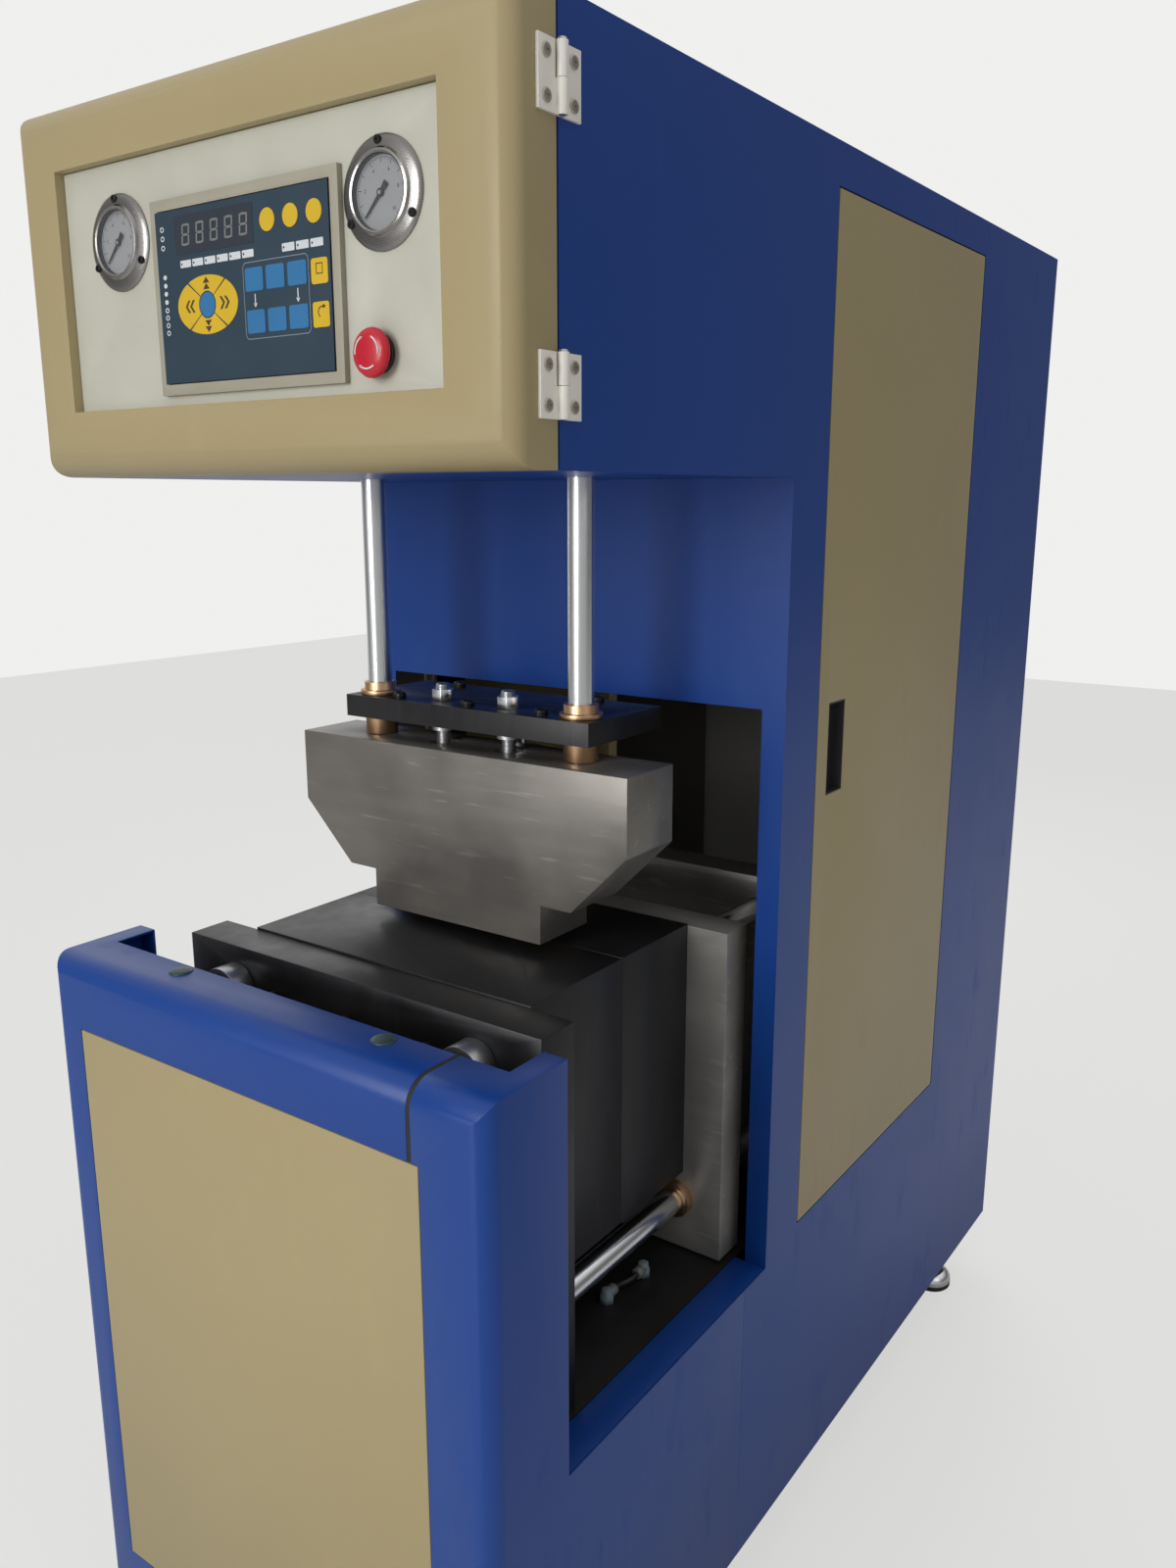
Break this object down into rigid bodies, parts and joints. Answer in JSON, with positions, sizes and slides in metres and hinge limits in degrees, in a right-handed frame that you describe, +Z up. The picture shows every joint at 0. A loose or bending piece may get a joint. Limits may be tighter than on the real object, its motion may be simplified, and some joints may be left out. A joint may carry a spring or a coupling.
{
  "type": "blow moulding machine",
  "caption": "Semi-automatic bottle blow moulding machine: C-shaped cabinet with a control door, a clamp unit with moulds in the slot and a sliding seal plate with blow nozzles.",
  "frame": {"origin": "on the floor, under the middle of the cabinet", "axes": "+Z up, +Y to the machine's back, +X to the machine's right seen from its front"},
  "size_m": [0.66, 1.51, 1.841],
  "materials": {
    "blue_paint": "semi-gloss powder coat",
    "beige_paint": "fine textured powder coat",
    "black_paint": "black oxide and paint",
    "grey_paint": "grey paint",
    "chrome": "hard chrome",
    "steel": "zinc plated",
    "bronze": "turned bronze",
    "aluminium": "anodised",
    "hinge_silver": "satin die-cast",
    "white_panel": "smooth white",
    "bezel_plastic": "satin",
    "keypad_film": "satin film",
    "black_plastic": "matt",
    "dial_white": "printed dial",
    "glass": "clear",
    "red_plastic": "gloss",
    "rubber": "matt"
  },
  "bodies": {
    "root": {"base_plate": "black_paint", "foot_pads": "rubber", "foot_cups": "chrome", "foot_studs": "steel", "base_shell": "blue_paint", "base_panel": "beige_paint", "sill_left": "blue_paint", "sill_right": "blue_paint", "bed_plate_left": "black_paint", "bed_plate_right": "black_paint", "bed_cover": "black_paint", "side_shell_left": "blue_paint", "side_shell_right": "blue_paint", "column_front_wall": "blue_paint", "rear_panel": "blue_paint", "top_cover": "blue_paint", "head_floor": "blue_paint", "head_beam": "grey_paint", "guide_rod_left": "chrome", "guide_rod_right": "chrome", "guide_rod_nuts": "steel", "crosshead": "grey_paint", "lift_cylinder": "aluminium", "front_platen": "black_paint", "rear_platen": "grey_paint", "tie_bars": "chrome", "tie_bar_nuts": "steel", "mould_front": "black_paint", "clamp_cylinder": "aluminium", "hinge_leaves_head": "hinge_silver", "hinge_pins": "steel", "door_pivots": "steel", "rear_fittings": "bronze"},
    "head_door": {"head_door": "beige_paint", "instrument_panel": "white_panel", "controller_bezel": "bezel_plastic", "keypad": "keypad_film", "controller_box": "black_plastic", "gauge_case_left": "chrome", "gauge_case_right": "chrome", "gauge_dials": "dial_white", "gauge_glasses": "glass", "estop_collar": "black_plastic", "hinge_leaves_door": "hinge_silver"},
    "needle_left": {"gauge_needle_left": "black_plastic"},
    "needle_right": {"gauge_needle_right": "black_plastic"},
    "estop_button": {"estop_button": "red_plastic"},
    "seal_unit": {"seal_plate": "black_paint", "seal_bushes": "bronze", "blow_nozzles": "steel", "nozzle_nuts": "chrome", "lift_rod": "chrome"},
    "clamp_carriage": {"moving_platen": "grey_paint", "platen_bushes": "bronze", "mould_rear": "black_paint", "clamp_rod": "chrome"},
    "side_door_right": {"side_door_right": "beige_paint", "door_pull_right": "black_plastic"},
    "side_door_left": {"side_door_left": "beige_paint", "door_pull_left": "black_plastic"}
  },
  "joints": [
    {"name": "head_door_hinge", "type": "hinge", "parent": "root", "child": "head_door", "pos_m": [0.33, -0.636, 1.66], "axis": [0, 0, 1], "range_deg": [0, 120]},
    {"name": "side_door_right_hinge", "type": "hinge", "parent": "root", "child": "side_door_right", "pos_m": [0.32, 0.385, 1.15], "axis": [0, 0, 1], "range_deg": [0, 105]},
    {"name": "side_door_left_hinge", "type": "hinge", "parent": "root", "child": "side_door_left", "pos_m": [-0.32, 0.385, 1.15], "axis": [0, 0, -1], "range_deg": [0, 105]},
    {"name": "seal_lift", "type": "slide", "parent": "root", "child": "seal_unit", "axis": [0, 0, 1], "range_m": [0, 0.11]},
    {"name": "clamp_slide", "type": "slide", "parent": "root", "child": "clamp_carriage", "axis": [0, 1, 0], "range_m": [0, 0.16]},
    {"name": "estop_press", "type": "slide", "parent": "head_door", "child": "estop_button", "axis": [0, 1, 0], "range_m": [0, 0.004]},
    {"name": "needle_left_turn", "type": "hinge", "parent": "head_door", "child": "needle_left", "pos_m": [-0.17, -0.6925, 1.7], "axis": [0, 1, 0], "range_deg": [0, 270]},
    {"name": "needle_right_turn", "type": "hinge", "parent": "head_door", "child": "needle_right", "pos_m": [0.186, -0.6925, 1.7], "axis": [0, 1, 0], "range_deg": [0, 270]}
  ]
}
